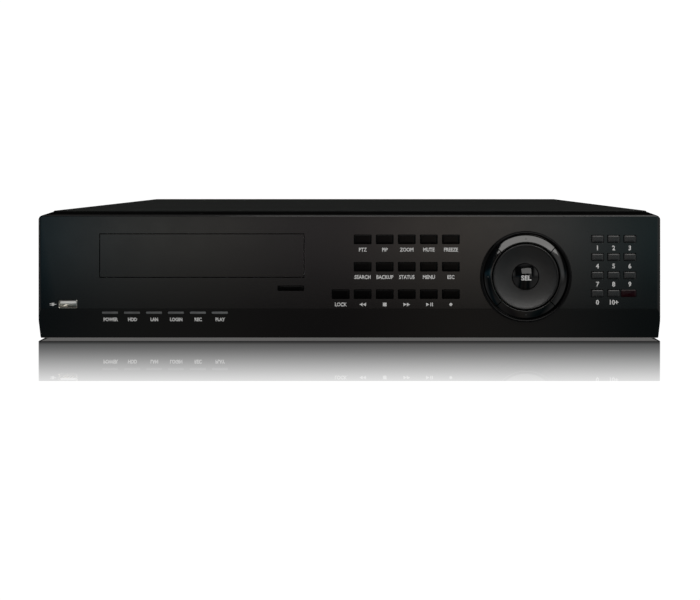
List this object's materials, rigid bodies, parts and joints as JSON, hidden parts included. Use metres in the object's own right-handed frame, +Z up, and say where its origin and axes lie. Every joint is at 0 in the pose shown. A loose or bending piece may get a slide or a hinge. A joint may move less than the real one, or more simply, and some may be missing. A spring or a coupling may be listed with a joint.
{
  "type": "dvr recorder",
  "caption": "Two-unit black recorder with a moulded front of push keys, jog dial, disc tray and USB port, steel case, rear video, audio, network and mains sockets.",
  "frame": {"origin": "on the surface the feet stand on, below the middle of the whole width and length", "axes": "+X to the right as seen from the front, -Y out of the front, +Z up"},
  "size_m": [0.43, 0.42, 0.089],
  "materials": {
    "front_panel": "satin black moulding",
    "tray_face": "satin black, as the front panel",
    "jog_wheel": "satin black, finely textured",
    "number_key": "satin black",
    "disc_tray": "matt black",
    "function_key": "glossy black",
    "arrow_key": "glossy black",
    "dial_rim": "glossy black",
    "select_button": "glossy black",
    "top_cover": "fine black powder coat",
    "chassis": "fine black powder coat",
    "feet": "matt black",
    "screws": "plated steel",
    "light_guide": "milky grey",
    "ir_window": "dark red, clear to infrared",
    "usb_port": "nickel plate",
    "nickel": "nickel plate",
    "circuit_board": "green solder mask",
    "drive_case": "plain metal",
    "bare_steel": "zinc plate",
    "hard_disk": "cast metal",
    "inlet_plastic": "black",
    "rocker_plastic": "black",
    "heat_sink": "natural",
    "terminal_block": "green",
    "fan_plastic": "black"
  },
  "bodies": {
    "cabinet": {"front_panel": "front_panel", "chassis": "chassis", "top_cover": "top_cover", "feet": "feet", "screws": "screws", "dial_rim": "dial_rim", "light_guide": "light_guide", "ir_window": "ir_window", "usb_port": "usb_port", "key_board": "circuit_board", "disc_drive": "drive_case", "drive_bracket": "bare_steel", "hard_disks": "hard_disk", "power_supply": "bare_steel", "mains_inlet": "inlet_plastic", "main_board": "circuit_board", "heat_sink": "heat_sink", "video_sockets": "nickel", "rear_ports": "nickel", "audio_jacks": "nickel", "terminal_block": "terminal_block", "fan_housing": "fan_plastic"},
    "tray": {"disc_tray": "disc_tray", "tray_face": "tray_face"},
    "key_ptz": {"key_ptz": "function_key"},
    "key_pip": {"key_pip": "function_key"},
    "key_zoom": {"key_zoom": "function_key"},
    "key_mute": {"key_mute": "function_key"},
    "key_freeze": {"key_freeze": "function_key"},
    "key_search": {"key_search": "function_key"},
    "key_backup": {"key_backup": "function_key"},
    "key_status": {"key_status": "function_key"},
    "key_menu": {"key_menu": "function_key"},
    "key_esc": {"key_esc": "function_key"},
    "key_lock": {"key_lock": "function_key"},
    "key_rewind": {"key_rewind": "function_key"},
    "key_stop": {"key_stop": "function_key"},
    "key_forward": {"key_forward": "function_key"},
    "key_play": {"key_play": "function_key"},
    "key_record": {"key_record": "function_key"},
    "key_1": {"key_1": "number_key"},
    "key_2": {"key_2": "number_key"},
    "key_3": {"key_3": "number_key"},
    "key_4": {"key_4": "number_key"},
    "key_5": {"key_5": "number_key"},
    "key_6": {"key_6": "number_key"},
    "key_7": {"key_7": "number_key"},
    "key_8": {"key_8": "number_key"},
    "key_9": {"key_9": "number_key"},
    "key_0": {"key_0": "number_key"},
    "key_10plus": {"key_10plus": "number_key"},
    "nav_right": {"nav_right": "arrow_key"},
    "nav_up": {"nav_up": "arrow_key"},
    "nav_left": {"nav_left": "arrow_key"},
    "nav_down": {"nav_down": "arrow_key"},
    "select_button": {"select_button": "select_button"},
    "eject_button": {"eject_button": "function_key"},
    "jog_wheel": {"jog_wheel": "jog_wheel"},
    "fan_impeller": {"fan_impeller": "fan_plastic"},
    "power_rocker": {"power_rocker": "rocker_plastic"}
  },
  "joints": [
    {"name": "tray_slide", "type": "slide", "parent": "cabinet", "child": "tray", "axis": [0, -1, 0], "range_m": [0, 0.146]},
    {"name": "jog_turn", "type": "hinge", "parent": "cabinet", "child": "jog_wheel", "pos_m": [0.1217, -0.2082, 0.0443], "axis": [0, -1, 0], "continuous": true},
    {"name": "fan_spin", "type": "hinge", "parent": "cabinet", "child": "fan_impeller", "pos_m": [0.074, 0.185, 0.044], "axis": [0, 1, 0], "continuous": true},
    {"name": "power_rock", "type": "hinge", "parent": "cabinet", "child": "power_rocker", "pos_m": [0.16, 0.196, 0.059], "axis": [0, 0, -1], "range_deg": [0, 14]},
    {"name": "press_select", "type": "slide", "parent": "cabinet", "child": "select_button", "axis": [0, 1, 0], "range_m": [0, 0.0008], "stiffness_N_per_m": 200, "springref_m": -0.0005},
    {"name": "press_eject", "type": "slide", "parent": "cabinet", "child": "eject_button", "axis": [0, 1, 0], "range_m": [0, 0.0012], "stiffness_N_per_m": 200, "springref_m": -0.0005},
    {"name": "press_nav_right", "type": "slide", "parent": "cabinet", "child": "nav_right", "axis": [0, 1, 0], "range_m": [0, 0.0008], "stiffness_N_per_m": 200, "springref_m": -0.0005},
    {"name": "press_nav_up", "type": "slide", "parent": "cabinet", "child": "nav_up", "axis": [0, 1, 0], "range_m": [0, 0.0008], "stiffness_N_per_m": 200, "springref_m": -0.0005},
    {"name": "press_nav_left", "type": "slide", "parent": "cabinet", "child": "nav_left", "axis": [0, 1, 0], "range_m": [0, 0.0008], "stiffness_N_per_m": 200, "springref_m": -0.0005},
    {"name": "press_nav_down", "type": "slide", "parent": "cabinet", "child": "nav_down", "axis": [0, 1, 0], "range_m": [0, 0.0008], "stiffness_N_per_m": 200, "springref_m": -0.0005},
    {"name": "press_ptz", "type": "slide", "parent": "cabinet", "child": "key_ptz", "axis": [0, 1, 0], "range_m": [0, 0.0008], "stiffness_N_per_m": 200, "springref_m": -0.0005},
    {"name": "press_pip", "type": "slide", "parent": "cabinet", "child": "key_pip", "axis": [0, 1, 0], "range_m": [0, 0.0008], "stiffness_N_per_m": 200, "springref_m": -0.0005},
    {"name": "press_zoom", "type": "slide", "parent": "cabinet", "child": "key_zoom", "axis": [0, 1, 0], "range_m": [0, 0.0008], "stiffness_N_per_m": 200, "springref_m": -0.0005},
    {"name": "press_mute", "type": "slide", "parent": "cabinet", "child": "key_mute", "axis": [0, 1, 0], "range_m": [0, 0.0008], "stiffness_N_per_m": 200, "springref_m": -0.0005},
    {"name": "press_freeze", "type": "slide", "parent": "cabinet", "child": "key_freeze", "axis": [0, 1, 0], "range_m": [0, 0.0008], "stiffness_N_per_m": 200, "springref_m": -0.0005},
    {"name": "press_search", "type": "slide", "parent": "cabinet", "child": "key_search", "axis": [0, 1, 0], "range_m": [0, 0.0008], "stiffness_N_per_m": 200, "springref_m": -0.0005},
    {"name": "press_backup", "type": "slide", "parent": "cabinet", "child": "key_backup", "axis": [0, 1, 0], "range_m": [0, 0.0008], "stiffness_N_per_m": 200, "springref_m": -0.0005},
    {"name": "press_status", "type": "slide", "parent": "cabinet", "child": "key_status", "axis": [0, 1, 0], "range_m": [0, 0.0008], "stiffness_N_per_m": 200, "springref_m": -0.0005},
    {"name": "press_menu", "type": "slide", "parent": "cabinet", "child": "key_menu", "axis": [0, 1, 0], "range_m": [0, 0.0008], "stiffness_N_per_m": 200, "springref_m": -0.0005},
    {"name": "press_esc", "type": "slide", "parent": "cabinet", "child": "key_esc", "axis": [0, 1, 0], "range_m": [0, 0.0008], "stiffness_N_per_m": 200, "springref_m": -0.0005},
    {"name": "press_lock", "type": "slide", "parent": "cabinet", "child": "key_lock", "axis": [0, 1, 0], "range_m": [0, 0.0008], "stiffness_N_per_m": 200, "springref_m": -0.0005},
    {"name": "press_rewind", "type": "slide", "parent": "cabinet", "child": "key_rewind", "axis": [0, 1, 0], "range_m": [0, 0.0008], "stiffness_N_per_m": 200, "springref_m": -0.0005},
    {"name": "press_stop", "type": "slide", "parent": "cabinet", "child": "key_stop", "axis": [0, 1, 0], "range_m": [0, 0.0008], "stiffness_N_per_m": 200, "springref_m": -0.0005},
    {"name": "press_forward", "type": "slide", "parent": "cabinet", "child": "key_forward", "axis": [0, 1, 0], "range_m": [0, 0.0008], "stiffness_N_per_m": 200, "springref_m": -0.0005},
    {"name": "press_play", "type": "slide", "parent": "cabinet", "child": "key_play", "axis": [0, 1, 0], "range_m": [0, 0.0008], "stiffness_N_per_m": 200, "springref_m": -0.0005},
    {"name": "press_record", "type": "slide", "parent": "cabinet", "child": "key_record", "axis": [0, 1, 0], "range_m": [0, 0.0008], "stiffness_N_per_m": 200, "springref_m": -0.0005},
    {"name": "press_1", "type": "slide", "parent": "cabinet", "child": "key_1", "axis": [0, 1, 0], "range_m": [0, 0.0008], "stiffness_N_per_m": 200, "springref_m": -0.0005},
    {"name": "press_2", "type": "slide", "parent": "cabinet", "child": "key_2", "axis": [0, 1, 0], "range_m": [0, 0.0008], "stiffness_N_per_m": 200, "springref_m": -0.0005},
    {"name": "press_3", "type": "slide", "parent": "cabinet", "child": "key_3", "axis": [0, 1, 0], "range_m": [0, 0.0008], "stiffness_N_per_m": 200, "springref_m": -0.0005},
    {"name": "press_4", "type": "slide", "parent": "cabinet", "child": "key_4", "axis": [0, 1, 0], "range_m": [0, 0.0008], "stiffness_N_per_m": 200, "springref_m": -0.0005},
    {"name": "press_5", "type": "slide", "parent": "cabinet", "child": "key_5", "axis": [0, 1, 0], "range_m": [0, 0.0008], "stiffness_N_per_m": 200, "springref_m": -0.0005},
    {"name": "press_6", "type": "slide", "parent": "cabinet", "child": "key_6", "axis": [0, 1, 0], "range_m": [0, 0.0008], "stiffness_N_per_m": 200, "springref_m": -0.0005},
    {"name": "press_7", "type": "slide", "parent": "cabinet", "child": "key_7", "axis": [0, 1, 0], "range_m": [0, 0.0008], "stiffness_N_per_m": 200, "springref_m": -0.0005},
    {"name": "press_8", "type": "slide", "parent": "cabinet", "child": "key_8", "axis": [0, 1, 0], "range_m": [0, 0.0008], "stiffness_N_per_m": 200, "springref_m": -0.0005},
    {"name": "press_9", "type": "slide", "parent": "cabinet", "child": "key_9", "axis": [0, 1, 0], "range_m": [0, 0.0008], "stiffness_N_per_m": 200, "springref_m": -0.0005},
    {"name": "press_0", "type": "slide", "parent": "cabinet", "child": "key_0", "axis": [0, 1, 0], "range_m": [0, 0.0008], "stiffness_N_per_m": 200, "springref_m": -0.0005},
    {"name": "press_10plus", "type": "slide", "parent": "cabinet", "child": "key_10plus", "axis": [0, 1, 0], "range_m": [0, 0.0008], "stiffness_N_per_m": 200, "springref_m": -0.0005}
  ]
}
